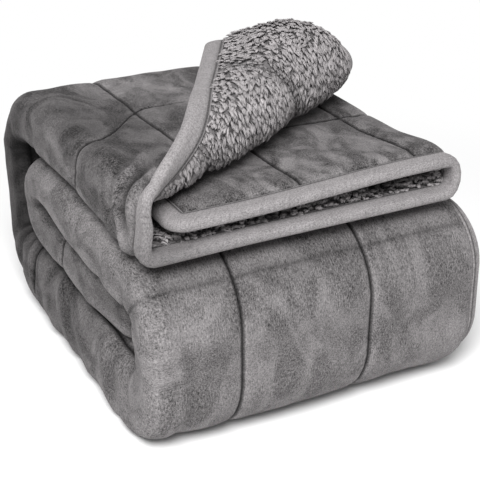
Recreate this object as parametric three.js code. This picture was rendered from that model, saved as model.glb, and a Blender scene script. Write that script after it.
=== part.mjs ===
import * as THREE from "three";

// A quilted fleece throw, folded in three across its width and then rolled over in four along its
// length, with one corner of the top layer turned back. Millimetres, +Z up, the front towards -Y,
// the origin on the floor under the middle of the stack.

const { clamp, degToRad, lerp } = THREE.MathUtils;
const smoothStep = (t) => THREE.MathUtils.smoothstep(t, 0, 1);

// The cloth as it is cut
const CLOTH_WIDTH = 1219;
const CLOTH_LENGTH = 1829;

// The folded stack: a layer of cloth, a strip of three layers, a stack of four strips
const LAYER = 25.3;
const STRIP = 3 * LAYER;
const STACK_WIDTH = 413;
const STACK_DEPTH = 498;
const FRONT_SETBACK = 28;
const BACK_CORNER = 60;
const FRONT_CORNER = 46;
const LEFT_CORNER = 16;
const UPPER_LAYER_SHORT = 8;
const CORE_CLEAR = 2;
const SINK = 2;

// Through the cloth, from the middle of a layer, with the smooth face positive
const FACE_AT_PUFF = 11.6;
const FACE_AT_SEAM = 7.5;
const FACE_SHEET = 3;
const PILE_AT_PUFF = -11.6;
const PILE_AT_SEAM = -9;
const HALF_GAP = 0.15;

// The edge binding, a tape that wraps the edge, and the panels' flattened margin inside it
const BINDING_WIDTH = 25;
const BINDING_HALF = 6;
const BINDING_EDGE_HALF = 4.8;
const TAPE = 2.4;
const MARGIN_HALF = 2.6;
const MARGIN_CLEAR = 0.8;
const MARGIN_EDGE = TAPE + 1.6;
const MARGIN_STEP = 1;
const ROW_CLEAR_OF_BINDING = 8;

// Quilting seams, as distances across the cloth and along it; the first cross seam is bowed in
// the top layer
const SEAMS_ACROSS = [166, 318, 465, 610, 754, 898, 1056];
const SEAMS_ALONG = [190, 672, 1154, 1636];
const BOWED_SEAM = { rise: 76, reach: 100 };
const SEAM_REACH = 32;

// The turned-back corner: the crease leaves the left fold near the front edge, the roll widens
// along it, its free edge leans out to the left near its start, and the roll's far end is curled in
const CREASE_ANGLE = degToRad(35.9);
const CREASE_START = -25;
const CREASE_SAG = 15;
const CREASE_SAG_REACH = 103;
const ROLL_RADIUS = 17.8;
const ROLL_GROWTH = 0.094;
const ROLL_TURN = degToRad(190);
const FLAP_LEAN = { most: 14, at: 20, before: 22, beyond: 51, fullTurn: 75, front: 70 };
const CURL_START = 326;
const CURL_RADIUS = 60;
const CURL_ONSET = 130;
const WRAP_ONSET = { from: 250, over: 190 };

// How far each part of the length stands out past the stack's left and right sides, and how far
// its left fold is pressed out to a lip, on a strip's inner side and on its outer side
const UNEVEN = [
  { length: 0, left: -2, right: -8, innerLip: 15, outerLip: 0 },
  { length: 120, left: -4, right: -6, innerLip: 12, outerLip: 0 },
  { length: 362, left: 0, right: -2, innerLip: 10, outerLip: 0 },
  { length: 500, left: 2, right: 0, innerLip: 0, outerLip: 0 },
  { length: 800, left: 2, right: 8, innerLip: 0, outerLip: 0 },
  { length: 1020, left: 0, right: 9, innerLip: 0, outerLip: 12 },
  { length: 1120, left: 1, right: 8, innerLip: 0, outerLip: 12 },
  { length: 1210, left: 3, right: 5, innerLip: 12, outerLip: 0 },
  { length: 1320, left: 5, right: 2, innerLip: 12, outerLip: 0 },
  { length: 1460, left: 3, right: 1, innerLip: 10, outerLip: 0 },
  { length: 1600, left: 0, right: 0, innerLip: 0, outerLip: 10 },
  { length: 1700, left: -2, right: 0, innerLip: 0, outerLip: 10 },
  { length: 1785, left: -14, right: 0, innerLip: 0, outerLip: 10 },
  { length: 1829, left: -24, right: 0, innerLip: 0, outerLip: 10 },
];
const LIP_SHARPNESS = 2.5;

// How far the borders between the strips stand above their even levels at the left side, from the
// floor up, at the front and further back
const BORDER_RISE = { front: [0, 22, 2, -3, 0], behind: [0, 40, 28, 14, 0] };
const BORDER_LEFT = { from: 60, over: 146 };
const BORDER_BEHIND = { over: 350, fadeFrom: 150, fadeOver: 99 };

// How far the top section's upper two layers stand up, and the mouth at the front right
const TOP_LAYER_LIFT = 6;
const UPPER_LAYER_LIFT = 5;
const MOUTH = { lift: 10, depth: 150, from: -100, over: 250 };

// A path of straights and right-hand bends in a plane, whose last row takes what is left
function makePath(startX, startY, length, table) {
  const segments = [];
  let start = 0;
  let x = startX;
  let y = startY;
  let heading = 0;
  for (const row of table) {
    const turn = degToRad(row.turn ?? 0);
    const run = turn ? row.radius * turn : row.run ?? length - start;
    const segment = { ...row, start, run, x, y, heading, turn };
    segments.push(segment);
    [x, y, heading] = walk(segment, run);
    start += run;
  }
  return segments;
}

function startOf(path, name) {
  return path.find((segment) => segment.name === name).start;
}

// The point and heading at a distance along one segment
function walk(segment, distance) {
  const { x, y, heading, turn, radius } = segment;
  if (!turn) {
    return [x + distance * Math.cos(heading), y + distance * Math.sin(heading), heading];
  }
  const bend = heading - distance / radius;
  return [
    x + radius * (Math.sin(bend + Math.PI) + Math.sin(heading)),
    y + radius * (Math.cos(bend) - Math.cos(heading)),
    bend,
  ];
}

// The point on a path and the unit normal to the left of it
function onPath(path, distance) {
  const segment = path.find((s) => distance < s.start + s.run) ?? path.at(-1);
  const [x, y, heading] = walk(segment, distance - segment.start);
  return { x, y, normalX: -Math.sin(heading), normalY: Math.cos(heading) };
}

// Across the width: the upper layer, the right fold, the lower layer, the left fold, the top layer
const rightRadius = LAYER / 2;
const leftFlat = 2 * (LAYER - LEFT_CORNER);
const acrossRight = STACK_WIDTH / 2 - rightRadius - LAYER / 2;
const acrossLeft = -STACK_WIDTH / 2 + LEFT_CORNER + LAYER / 2;
const lowerRun = acrossRight - acrossLeft;
const upperRun = lowerRun - UPPER_LAYER_SHORT;
const wrapRadius = 1.5 * LAYER;
const across = makePath(acrossRight - upperRun, 0, CLOTH_WIDTH, [
  { name: "upper layer", run: upperRun, stations: [86, SEAMS_ACROSS[0], 230, SEAMS_ACROSS[1]] },
  { name: "right fold", radius: rightRadius, turn: 180, steps: 3 },
  { name: "lower layer", run: lowerRun, steps: 3 },
  { name: "left fold", radius: LEFT_CORNER, turn: 90, steps: 2 },
  { name: "left flat", run: leftFlat },
  { name: "left corner", radius: LEFT_CORNER, turn: 90, steps: 2 },
  { name: "top layer", stations: [22, 50, 79.3, 108, 150, 196, 237.3, 263, 295, 326, 358] },
]);
const leftFoldStart = startOf(across, "left fold");
const topLayerStart = startOf(across, "top layer");

// Along the length: the top section from its front edge, over the back, under, up the front, back
// in below the top section, and round once more to end inside the front fold
const topLevel = 3.5 * STRIP;
const backInner = STACK_DEPTH / 2 - STRIP / 2 - BACK_CORNER;
const frontInner = -STACK_DEPTH / 2 + STRIP / 2 + FRONT_CORNER;
const coreBack = STACK_DEPTH / 2 - 2 * STRIP - CORE_CLEAR;
const topStart = -STACK_DEPTH / 2 + FRONT_SETBACK;
const along = makePath(topStart, topLevel, CLOTH_LENGTH, [
  { name: "top section", run: backInner - topStart },
  { name: "back fold over", radius: BACK_CORNER, turn: 90, steps: 3 },
  { name: "back", run: 3 * STRIP - 2 * BACK_CORNER },
  { name: "back fold under", radius: BACK_CORNER, turn: 90, steps: 3 },
  { name: "bottom section", run: backInner - frontInner, steps: 3 },
  { name: "front fold under", radius: FRONT_CORNER, turn: 90, steps: 3 },
  { name: "front", run: 2 * STRIP - 2 * FRONT_CORNER },
  { name: "front fold over", radius: FRONT_CORNER, turn: 90, stations: [17, 37.5, 55] },
  { name: "second section", run: coreBack - frontInner, steps: 3 },
  { name: "core fold", radius: STRIP / 2, turn: 180, steps: 5 },
  { name: "core section", steps: 3 },
]);
const topSectionRun = startOf(along, "back fold over");

// Where the roll's crease lies in the top layer, as a length from the front edge
function creaseAt(fromFold) {
  const run = Math.max(0, fromFold - CREASE_START);
  const sag = CREASE_SAG * (1 - Math.exp(-run / CREASE_SAG_REACH));
  return BINDING_WIDTH + run * Math.tan(CREASE_ANGLE) - sag;
}

// Where the bowed cross seam lies in the top layer
function bowedSeamAt(fromFold) {
  return SEAMS_ALONG[0] + BOWED_SEAM.rise * smoothStep(fromFold / BOWED_SEAM.reach);
}

// The cross-section from the left fold on: its end wraps down over the right fold, or turns up
// into the roll's end, each as far as its share says
const wrapStart = acrossRight - acrossLeft;
const WALK_STEPS = 30;

function topReach(fromFold, curl, wrap) {
  const curled = (s) => (curl * Math.max(0, s - CURL_START)) / CURL_RADIUS;
  const wrapped = (s) => (wrap * Math.max(0, s - wrapStart)) / wrapRadius;
  const angleAt = (s) => curled(s) - wrapped(s);
  const straight = Math.min(fromFold, CURL_START);
  const step = (fromFold - straight) / WALK_STEPS;
  let reach = straight;
  let lift = 0;
  for (let i = 0; i < WALK_STEPS && step > 0; i++) {
    const angle = angleAt(straight + (i + 0.5) * step);
    reach += step * Math.cos(angle);
    lift += step * Math.sin(angle);
  }
  return { reach, lift, angle: angleAt(fromFold) };
}

// A point of the cloth in the folded stack: across, along and through it. In front of the crease
// the top layer turns over the roll.
function folded(width, length, offset) {
  const fromFold = width - topLayerStart;
  const bent = Math.max(length, BINDING_WIDTH);
  const inTop = length < topSectionRun && width > leftFoldStart;
  const flatPast = inTop ? Math.max(0, (creaseAt(fromFold) - bent) * Math.cos(CREASE_ANGLE)) : 0;
  const curl = smoothStep(flatPast / CURL_ONSET);
  const wrap = smoothStep((length - WRAP_ONSET.from) / WRAP_ONSET.over);
  const { reach, lift, angle } = topReach(fromFold, curl, wrap);
  const past = inTop ? Math.max(0, (creaseAt(reach) - bent) * Math.cos(CREASE_ANGLE)) : 0;

  // The unbent cloth at the foot of the crease, with its three directions
  const foot = reach - past * Math.sin(CREASE_ANGLE);
  const cross = onPath(across, topLayerStart + foot);
  const spine = onPath(along, inTop ? bent + past * Math.cos(CREASE_ANGLE) : length);
  const up = new THREE.Vector3(0, spine.normalX, spine.normalY);
  const aside = new THREE.Vector3(1, 0, 0);
  const sideways = mix(aside, cross.normalY, up, -cross.normalX);
  const lengthways = new THREE.Vector3(0, spine.normalY, -spine.normalX);
  const outwards = mix(aside, cross.normalX, up, cross.normalY);
  const point = new THREE.Vector3(cross.x, spine.x, spine.y).addScaledVector(up, cross.y);

  // The turn over the roll, and the flat stretch beyond it
  const radius = ROLL_RADIUS + (ROLL_GROWTH * Math.max(0, foot - CREASE_START)) / Math.cos(CREASE_ANGLE);
  const turn = Math.min(past / radius, ROLL_TURN);
  const beyond = past - turn * radius;
  const alongCrease = mix(sideways, Math.cos(CREASE_ANGLE), lengthways, Math.sin(CREASE_ANGLE));
  const overCrease = mix(sideways, Math.sin(CREASE_ANGLE), lengthways, -Math.cos(CREASE_ANGLE));
  const onward = mix(overCrease, Math.cos(turn), outwards, Math.sin(turn));
  const normal = mix(overCrease, -Math.sin(turn), outwards, Math.cos(turn));
  point.addScaledVector(overCrease, radius * Math.sin(turn));
  point.addScaledVector(outwards, radius * (1 - Math.cos(turn)));
  point.addScaledVector(onward, beyond);

  // The binding's width carries straight on, and the end of the layer wraps or curls
  if (inTop && length < bent) {
    point.addScaledVector(alongCrease, (length - bent) * Math.sin(CREASE_ANGLE));
    point.addScaledVector(onward, (bent - length) * Math.cos(CREASE_ANGLE));
  }
  point.x -= inTop ? leanAt(fromFold, length, turn) : 0;
  const endways = mix(alongCrease, Math.cos(CREASE_ANGLE), onward, Math.sin(CREASE_ANGLE));
  point.addScaledVector(normal, lift + offset * Math.cos(angle));
  return point.addScaledVector(endways, -offset * Math.sin(angle));
}

// How far the turned flap leans out to the left, most of all a little way from the left fold
function leanAt(fromFold, length, turn) {
  const reach = fromFold < FLAP_LEAN.at ? FLAP_LEAN.before : FLAP_LEAN.beyond;
  const most = FLAP_LEAN.most * Math.exp(-(((fromFold - FLAP_LEAN.at) / reach) ** 2));
  const unturned = 1 - smoothStep(turn / degToRad(FLAP_LEAN.fullTurn));
  return most * (1 - unturned * smoothStep(length / FLAP_LEAN.front));
}

function mix(a, shareOfA, b, shareOfB) {
  return a.clone().multiplyScalar(shareOfA).addScaledVector(b, shareOfB);
}

// How far a layer of the top section stands up off the one below
function liftAt(width, length) {
  const side = smoothStep((onPath(across, Math.min(width, upperRun)).x - MOUTH.from) / MOUTH.over);
  const mouth = MOUTH.lift * side * smoothStep(1 - length / MOUTH.depth);
  const rightRun = Math.PI * rightRadius;
  const ofUpper = (UPPER_LAYER_LIFT + mouth) * (1 - smoothStep((width - upperRun) / rightRun));
  const ofTop = TOP_LAYER_LIFT * smoothStep((width - leftFoldStart) / (topLayerStart - leftFoldStart));
  return (ofUpper + ofTop) * (1 - smoothStep((length - topSectionRun) / BACK_CORNER));
}

// How far a place moves up with the borders between the strips
function borderRise({ x, y, z }) {
  const level = clamp(z / STRIP, 0, BORDER_RISE.front.length - 1.001);
  const below = Math.floor(level);
  const riseIn = (list) => lerp(list[below], list[below + 1], level - below);
  const behind = smoothStep((y + STACK_DEPTH / 2) / BORDER_BEHIND.over);
  const share =
    smoothStep((-x - BORDER_LEFT.from) / BORDER_LEFT.over) *
    (1 - smoothStep((y - BORDER_BEHIND.fadeFrom) / BORDER_BEHIND.fadeOver));
  return share * lerp(riseIn(BORDER_RISE.front), riseIn(BORDER_RISE.behind), behind);
}

// The stack's small unevenness, and its weight on the floor
function settled(width, length, offset) {
  const point = folded(width, length, offset);
  const spine = onPath(along, length);
  const lift = liftAt(width, length);
  point.y += lift * spine.normalX;
  point.z += lift * spine.normalY;
  const next = UNEVEN.findIndex((row) => row.length >= length);
  const b = UNEVEN[Math.max(1, next)];
  const a = UNEVEN[Math.max(1, next) - 1];
  const t = smoothStep((length - a.length) / (b.length - a.length));
  const outwards = (point.y - spine.x) * spine.normalX + (point.z - spine.y) * spine.normalY;
  const level = clamp(outwards / (STRIP / 2), -1, 1);
  const lip =
    lerp(a.innerLip, b.innerLip, t) * ((1 - level) / 2) ** LIP_SHARPNESS +
    lerp(a.outerLip, b.outerLip, t) * ((1 + level) / 2) ** LIP_SHARPNESS;
  const side = point.x / (STACK_WIDTH / 2);
  point.x -= (lerp(a.left, b.left, t) + lip) * clamp(-side, 0, 1) ** 2;
  point.x += lerp(a.right, b.right, t) * clamp(side, 0, 1) ** 2;
  point.z = Math.max(0, point.z + borderRise(point) - SINK);
  return point;
}

// How full the quilting is, 0 on a seam and 1 in the middle of a cell
function fullness(width, length) {
  const shift = bowedSeamAt(Math.max(0, width - topLayerStart)) - SEAMS_ALONG[0];
  const toSeam = Math.min(...SEAMS_ACROSS.map((at) => Math.abs(width - at)));
  const toCrossSeam = Math.min(...SEAMS_ALONG.map((at, i) => Math.abs(length - at - (i ? 0 : shift))));
  return smoothStep(toSeam / SEAM_REACH) * smoothStep(toCrossSeam / SEAM_REACH);
}

// The heights of a panel's surfaces through the cloth
function inMargin(width, length) {
  const fromEdge = Math.min(width, CLOTH_WIDTH - width, length, CLOTH_LENGTH - length);
  return fromEdge < BINDING_WIDTH + MARGIN_STEP;
}

function faceTop(width, length) {
  return inMargin(width, length) ? MARGIN_HALF : lerp(FACE_AT_SEAM, FACE_AT_PUFF, fullness(width, length));
}

function faceUnder(width, length) {
  return inMargin(width, length) ? HALF_GAP : faceTop(width, length) - FACE_SHEET;
}

function pileTop(width, length) {
  return faceUnder(width, length) - 2 * HALF_GAP;
}

function pileUnder(width, length) {
  return inMargin(width, length) ? -MARGIN_HALF : lerp(PILE_AT_SEAM, PILE_AT_PUFF, fullness(width, length));
}

// Grid stations along a path, from its stations or steps
function stationsOf(path) {
  const list = [];
  for (const segment of path) {
    const steps = segment.steps ?? 1;
    const even = Array.from({ length: steps - 1 }, (_, k) => (segment.run * (k + 1)) / steps);
    const inner = segment.stations ?? even;
    list.push(...inner.map((s) => segment.start + s), segment.start + segment.run);
  }
  return list;
}

function withMargins(list, end) {
  const near = BINDING_WIDTH + ROW_CLEAR_OF_BINDING;
  const inner = list.filter((s) => s > near && s < end - near);
  return [MARGIN_EDGE, BINDING_WIDTH, ...inner, end - BINDING_WIDTH, end - MARGIN_EDGE];
}

const columns = withMargins(stationsOf(across), CLOTH_WIDTH);

// Grid rows: in the top section they fan out from the front of the left fold, so that the roll
// turns between them, and elsewhere they run straight across
const ROLL_ROWS = [0.16, 0.3, 0.42, 0.53, 0.63, 0.73, 0.82, 0.91, 1];
const ROWS_BEHIND = 4;
const NARROWEST_FAN = 16;

function fanRow(row, fromFold) {
  const rollEnd = BINDING_WIDTH + Math.max(NARROWEST_FAN, creaseAt(fromFold) - BINDING_WIDTH);
  if (row < ROLL_ROWS.length) {
    return lerp(BINDING_WIDTH, rollEnd, ROLL_ROWS[row]);
  }
  const behind = row - ROLL_ROWS.length + 1;
  const seam = Math.max(bowedSeamAt(fromFold), lerp(rollEnd, topSectionRun, 0.5));
  return behind <= 2 ? lerp(rollEnd, seam, behind / 2) : lerp(seam, topSectionRun, behind / 2 - 1);
}

const fanRows = ROLL_ROWS.length + ROWS_BEHIND;
const straightRows = withMargins(stationsOf(along.slice(1)), CLOTH_LENGTH).slice(2);
const rowCount = 2 + fanRows + straightRows.length;

function rowAt(row, width) {
  if (row < 2) {
    return row ? BINDING_WIDTH : MARGIN_EDGE;
  }
  if (row >= 2 + fanRows) {
    return straightRows[row - 2 - fanRows];
  }
  const fan = row - 2;
  const plain = lerp(BINDING_WIDTH, topSectionRun, (fan + 1) / fanRows);
  const fromFold = width - topLayerStart;
  const blend = smoothStep((width - leftFoldStart) / (topLayerStart - leftFoldStart + CREASE_START));
  return lerp(plain, fanRow(fan, fromFold), blend);
}

// A closed mesh from a list of points and a list of triangles
function closedMesh(name, points, triangles, look) {
  const geometry = new THREE.BufferGeometry().setFromPoints(points);
  geometry.setIndex(triangles.flat());
  geometry.computeVertexNormals();
  const mesh = new THREE.Mesh(geometry, new THREE.MeshStandardMaterial(look));
  mesh.name = name;
  return mesh;
}

// A panel between two heights through the cloth
function panel(name, top, under, look) {
  const points = [];
  for (const surface of [top, under]) {
    for (let row = 0; row < rowCount; row++) {
      for (const width of columns) {
        const length = rowAt(row, width);
        points.push(settled(width, length, surface(width, length)));
      }
    }
  }
  const perRow = columns.length;
  const layer = perRow * rowCount;
  const triangles = [];
  for (let row = 0; row < rowCount - 1; row++) {
    for (let column = 0; column < perRow - 1; column++) {
      const a = row * perRow + column;
      const [b, c, d] = [a + 1, a + perRow + 1, a + perRow];
      triangles.push([a, b, c], [a, c, d]);
      triangles.push([a + layer, c + layer, b + layer], [a + layer, d + layer, c + layer]);
    }
  }
  const rim = rimOf(perRow, rowCount);
  rim.forEach((a, i) => {
    const b = rim[(i + 1) % rim.length];
    triangles.push([a, a + layer, b + layer], [a, b + layer, b]);
  });
  return closedMesh(name, points, triangles, look);
}

// The grid's border points in order, from the front left corner along the front first
function rimOf(perRow, rows) {
  const upTo = (count) => Array.from({ length: count - 1 }, (_, i) => i);
  const last = perRow * rows - 1;
  const front = upTo(perRow);
  const right = upTo(rows).map((row) => row * perRow + perRow - 1);
  return [...front, ...right, ...front.map((i) => last - i), ...right.map((i) => last - i)];
}

// The binding's rings along one side of the cloth, each a place for every distance in from the
// edge: the mitre at the side's first corner, a ring close to it, the inner rings, and one more.
// The quads from a ring to the next are cut from its outer point or from its inner one, as the
// panels' quads beside them are.
const BESIDE_MITRE = 2;

function sideRings(end, inner, { acrossSide, backwards }, place) {
  const beside = (inward) => BINDING_WIDTH + (BESIDE_MITRE * inward) / BINDING_WIDTH;
  const fromFar = (near) => (inward) => end - near(inward);
  const mitre = (inward) => inward;
  const forwards = [mitre, beside, ...inner, fromFar(beside)];
  const rings = backwards ? [fromFar(mitre), fromFar(beside), ...inner.toReversed(), beside] : forwards;
  return rings.map((along, i) => ({
    at: (inward) => place(along(inward), inward),
    fromOuter: i === rings.length - 1 || (acrossSide && i > 0),
  }));
}

// The binding: one folded tape round the whole edge, mitred at the corners
function binding(name, look) {
  const section = [
    { inward: BINDING_WIDTH, offset: BINDING_HALF },
    { inward: 0, offset: BINDING_EDGE_HALF },
    { inward: 0, offset: -BINDING_EDGE_HALF },
    { inward: BINDING_WIDTH, offset: -BINDING_HALF },
    { inward: BINDING_WIDTH, offset: -MARGIN_HALF - MARGIN_CLEAR },
    { inward: TAPE, offset: -MARGIN_HALF - MARGIN_CLEAR },
    { inward: TAPE, offset: MARGIN_HALF + MARGIN_CLEAR },
    { inward: BINDING_WIDTH, offset: MARGIN_HALF + MARGIN_CLEAR },
  ];
  const innerColumns = columns.slice(2, -2).map((width) => () => width);
  const innerRows = Array.from({ length: rowCount - 4 }, (_, k) => k + 2);
  const rowsAtRight = innerRows.map((row) => (inward) => rowAt(row, CLOTH_WIDTH - inward));
  const rowsAtLeft = innerRows.map((row) => (inward) => rowAt(row, inward));
  const front = { acrossSide: true, backwards: false };
  const right = { acrossSide: false, backwards: false };
  const back = { acrossSide: true, backwards: true };
  const left = { acrossSide: false, backwards: true };
  const rings = [
    ...sideRings(CLOTH_WIDTH, innerColumns, front, (width, inward) => [width, inward]),
    ...sideRings(CLOTH_LENGTH, rowsAtRight, right, (length, inward) => [CLOTH_WIDTH - inward, length]),
    ...sideRings(CLOTH_WIDTH, innerColumns, back, (width, inward) => [width, CLOTH_LENGTH - inward]),
    ...sideRings(CLOTH_LENGTH, rowsAtLeft, left, (length, inward) => [inward, length]),
  ];
  const ringAt = ({ at }) => section.map(({ inward, offset }) => settled(...at(inward), offset));
  const points = rings.flatMap(ringAt);
  const size = section.length;
  const triangles = [];
  rings.forEach(({ fromOuter }, i) => {
    const next = (i + 1) % rings.length;
    for (let k = 0; k < size; k++) {
      const l = (k + 1) % size;
      const [a, b, c, d] = [i * size + k, i * size + l, next * size + l, next * size + k];
      const outwards = section[k].inward - section[l].inward;
      const flipped = outwards ? fromOuter === outwards > 0 : section[k].offset < section[l].offset;
      triangles.push(...(flipped ? [[a, b, d], [b, c, d]] : [[a, b, c], [a, c, d]]));
    }
  });
  return closedMesh(name, points, triangles, look);
}

const blanket = new THREE.Group();
blanket.add(
  panel("face_panel", faceTop, faceUnder, { color: 0x6f6c6d, roughness: 0.85, metalness: 0 }),
  panel("back_panel", pileTop, pileUnder, { color: 0x827f80, roughness: 1, metalness: 0 }),
  binding("edge_binding", { color: 0x979495, roughness: 0.9, metalness: 0 }),
);

export default blanket;
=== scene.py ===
"""A quilted fleece throw, folded, with one corner of its top layer turned back."""

import math

import bpy
import numpy as np
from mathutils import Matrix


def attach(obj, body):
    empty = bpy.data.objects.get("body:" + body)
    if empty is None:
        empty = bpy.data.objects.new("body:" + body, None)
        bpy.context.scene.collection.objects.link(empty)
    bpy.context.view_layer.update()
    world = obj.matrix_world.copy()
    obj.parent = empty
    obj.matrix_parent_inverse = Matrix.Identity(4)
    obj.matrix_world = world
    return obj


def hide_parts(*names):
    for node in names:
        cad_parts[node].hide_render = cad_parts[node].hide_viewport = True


bl_info = {
    "name": "Folded fleece throw",
    "version": (1, 0, 0),
    "blender": (4, 5, 0),
    "location": "View3D > Sidebar > Throw",
    "description": "Builds a folded, quilted fleece throw with one corner turned back",
    "category": "Add Mesh",
}

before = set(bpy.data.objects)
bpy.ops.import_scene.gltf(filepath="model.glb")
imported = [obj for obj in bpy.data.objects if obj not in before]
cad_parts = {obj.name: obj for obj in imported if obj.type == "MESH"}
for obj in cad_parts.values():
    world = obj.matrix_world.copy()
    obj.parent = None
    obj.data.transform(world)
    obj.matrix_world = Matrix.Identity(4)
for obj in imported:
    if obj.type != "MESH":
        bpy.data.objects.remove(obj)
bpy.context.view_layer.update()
BODY = "root"

# The cloth as it is cut, and the folded stack. Millimetres, as the solids are made
MM = 0.001
CLOTH_WIDTH, CLOTH_LENGTH = 1219.0, 1829.0
LAYER = 25.3
STRIP = 3 * LAYER
STACK_WIDTH, STACK_DEPTH = 413.0, 498.0
FRONT_SETBACK, BACK_CORNER, FRONT_CORNER, LEFT_CORNER = 28.0, 60.0, 46.0, 16.0
UPPER_LAYER_SHORT, CORE_CLEAR, SINK = 8.0, 2.0, 2.0
BINDING_WIDTH = 25.0
MARGIN_EDGE = 4.0
CORNER_ROUND = 25.0

# Quilting seams across and along the cloth; the first cross seam is bowed in the top layer
SEAMS_ACROSS = (166.0, 318.0, 465.0, 610.0, 754.0, 898.0, 1056.0)
SEAMS_ALONG = (190.0, 672.0, 1154.0, 1636.0)
SEAMS_ALONG_DEPTH = (1.0, 1.0, 0.32, 1.0)
BOWED_RISE, BOWED_REACH = 76.0, 100.0

# The turned-back corner
CREASE_ANGLE = math.radians(35.9)
COS_CREASE, SIN_CREASE = math.cos(CREASE_ANGLE), math.sin(CREASE_ANGLE)
CREASE_START, CREASE_SAG, CREASE_SAG_REACH = -25.0, 15.0, 103.0
ROLL_RADIUS, ROLL_GROWTH, ROLL_TURN = 17.8, 0.094, math.radians(190)
FLAP_LEAN, LEAN_AT, LEAN_BEFORE, LEAN_BEYOND = 14.0, 20.0, 22.0, 51.0
LEAN_FULL_TURN, LEAN_FRONT = math.radians(75), 70.0
CURL_START, CURL_RADIUS, CURL_ONSET = 326.0, 60.0, 130.0
WRAP_FROM, WRAP_OVER = 250.0, 190.0

# Lift of the top section's upper layers, and of the mouth at the front right
TOP_LAYER_LIFT, UPPER_LAYER_LIFT = 6.0, 5.0
MOUTH_LIFT, MOUTH_DEPTH, MOUTH_FROM, MOUTH_OVER = 10.0, 150.0, -100.0, 250.0

# How far the borders between the strips stand above their even levels at the left side
BORDER_RISE_FRONT, BORDER_RISE_BEHIND = (0, 22, 2, -3, 0), (0, 40, 28, 14, 0)
BORDER_LEFT_FROM, BORDER_LEFT_OVER = 60.0, 146.0
BORDER_BACK_FROM, BORDER_BACK_OVER, BORDER_SLOPE_OVER = 150.0, 99.0, 350.0
FLOOR_CLEAR = 0.2

# How far each length stands out past the stack's left and right sides, and its lips at the left:
# length, left, right, inner lip, outer lip
UNEVEN = (
    (0, -2, -8, 15, 0),
    (120, -4, -6, 12, 0),
    (362, 0, -2, 10, 0),
    (500, 2, 0, 0, 0),
    (800, 2, 8, 0, 0),
    (1020, 0, 9, 0, 12),
    (1120, 1, 8, 0, 12),
    (1210, 3, 5, 12, 0),
    (1320, 5, 2, 12, 0),
    (1460, 3, 1, 10, 0),
    (1600, 0, 0, 0, 10),
    (1700, -2, 0, 0, 10),
    (1785, -14, 0, 0, 10),
    (1829, -24, 0, 0, 10),
)
LIP_SHARPNESS = 2.5

# Soft ridges and troughs, listed one by one: width, length, bearing in degrees from across,
# reach along, reach across, height
CREASES = (
    # round the left fold of the top section, in front, where the flap starts
    (806, 72, 42, 56, 4.0, 5.4),
    (813, 61, 41, 50, 3.8, -5.0),
    (819, 50, 40, 48, 3.8, 4.4),
    (827, 41, 42, 36, 3.8, -3.6),
    (796, 84, 44, 42, 5.5, -3.4),
    (784, 100, 48, 40, 6.5, 2.6),
    (846, 62, 66, 34, 5.0, -2.0),
    # the upper layer's ridge beside the roll
    (334, 122, 90, 70, 9.0, 2.6),
    (352, 122, 90, 70, 8.0, -2.2),
    # across the left fold
    (775, 326, 12, 34, 7.0, -2.2),
    (772, 422, -14, 36, 8.0, -2.4),
    (780, 452, -8, 30, 8.0, 1.8),
    (772, 584, 16, 36, 7.0, -2.4),
    (778, 640, 22, 34, 9.0, 1.8),
    (784, 618, 24, 36, 5.5, -3.4),
    (778, 662, 26, 38, 6.0, 3.4),
    (786, 690, 28, 40, 5.5, -4.0),
    (776, 722, 26, 38, 6.0, 3.8),
    (784, 752, 28, 42, 5.5, -4.2),
    (774, 784, 30, 40, 6.5, 3.6),
    (786, 812, 32, 46, 6.0, -4.0),
    (776, 842, 30, 40, 7.5, 3.2),
    (784, 881, 34, 42, 6.5, -3.8),
    (770, 918, 28, 40, 7.5, 3.0),
    (780, 950, 20, 40, 6.5, -3.2),
    (776, 989, 12, 36, 7.0, -2.2),
    (776, 1110, -10, 36, 9.0, 1.8),
    (778, 1180, 14, 34, 8.0, -2.0),
    (772, 1247, 18, 38, 8.0, -2.6),
    (776, 1330, 10, 36, 10.0, 2.0),
    (770, 1420, -16, 34, 8.0, -2.0),
    (776, 1514, 14, 36, 7.0, -2.4),
    (774, 1598, -12, 34, 7.0, -2.2),
    (776, 1690, 14, 34, 7.0, -2.4),
    (774, 1735, -10, 32, 7.0, -2.0),
    # the front face beside its left edge, and slow swells of the face
    (842, 1040, 88, 70, 7.0, -2.0),
    (830, 1040, 88, 80, 8.0, 1.6),
    (980, 1060, 4, 70, 22.0, 1.4),
    (1120, 1020, 8, 80, 26.0, -1.6),
    (1165, 1090, 60, 50, 14.0, -1.6),
    (940, 980, -6, 70, 24.0, 1.2),
    (1100, 940, 10, 70, 20.0, 1.4),
)

# Painted light and shade along the flannel, set for each section as it lies in the stack:
# length, lightness
SECTION_PAINTED_LIGHT = (
    (0, 0.80), (380, 0.78), (470, 0.74), (560, 0.60), (700, 0.54), (860, 0.62), (940, 1.02), (1060, 1.18),
    (1140, 1.08), (1200, 1.10), (1420, 0.98), (1520, 0.80), (1829, 0.74),
)
# How strongly its brushed patches stand out: length, strength
BRUSH_STRENGTH = (
    (0, 1.1), (400, 1.05), (900, 0.95), (1000, 0.62), (1180, 0.56), (1260, 0.85), (1829, 0.85),
)
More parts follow.
